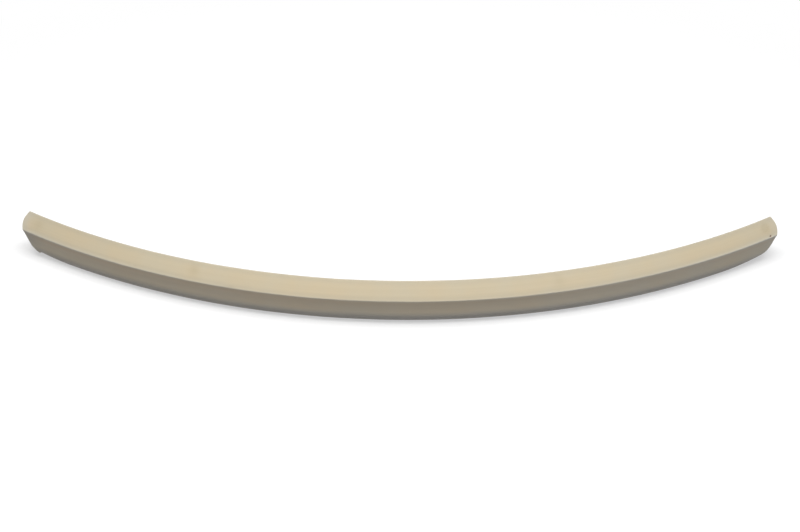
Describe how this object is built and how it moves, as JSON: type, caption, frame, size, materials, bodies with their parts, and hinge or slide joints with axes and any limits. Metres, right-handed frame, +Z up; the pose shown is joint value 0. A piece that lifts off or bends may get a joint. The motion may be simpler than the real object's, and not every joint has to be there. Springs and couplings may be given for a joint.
{
  "type": "front bumper lip",
  "caption": "Bow-shaped front bumper lip moulding with a sloping ramp, crisp nose line, waisted face, rounded chin and a screw flange, open at the back.",
  "frame": {"origin": "on the centre line, on the underside of the flange, midway across its flat", "axes": "+X to the right as seen from in front of the car, +Y back towards the car, +Z up"},
  "size_m": [1.4012, 0.2427, 0.0783],
  "materials": {
    "polyurethane": "raw cast polyurethane, satin beige, unpainted"
  },
  "bodies": {
    "root": {"bumper_lip": "polyurethane"}
  },
  "joints": []
}
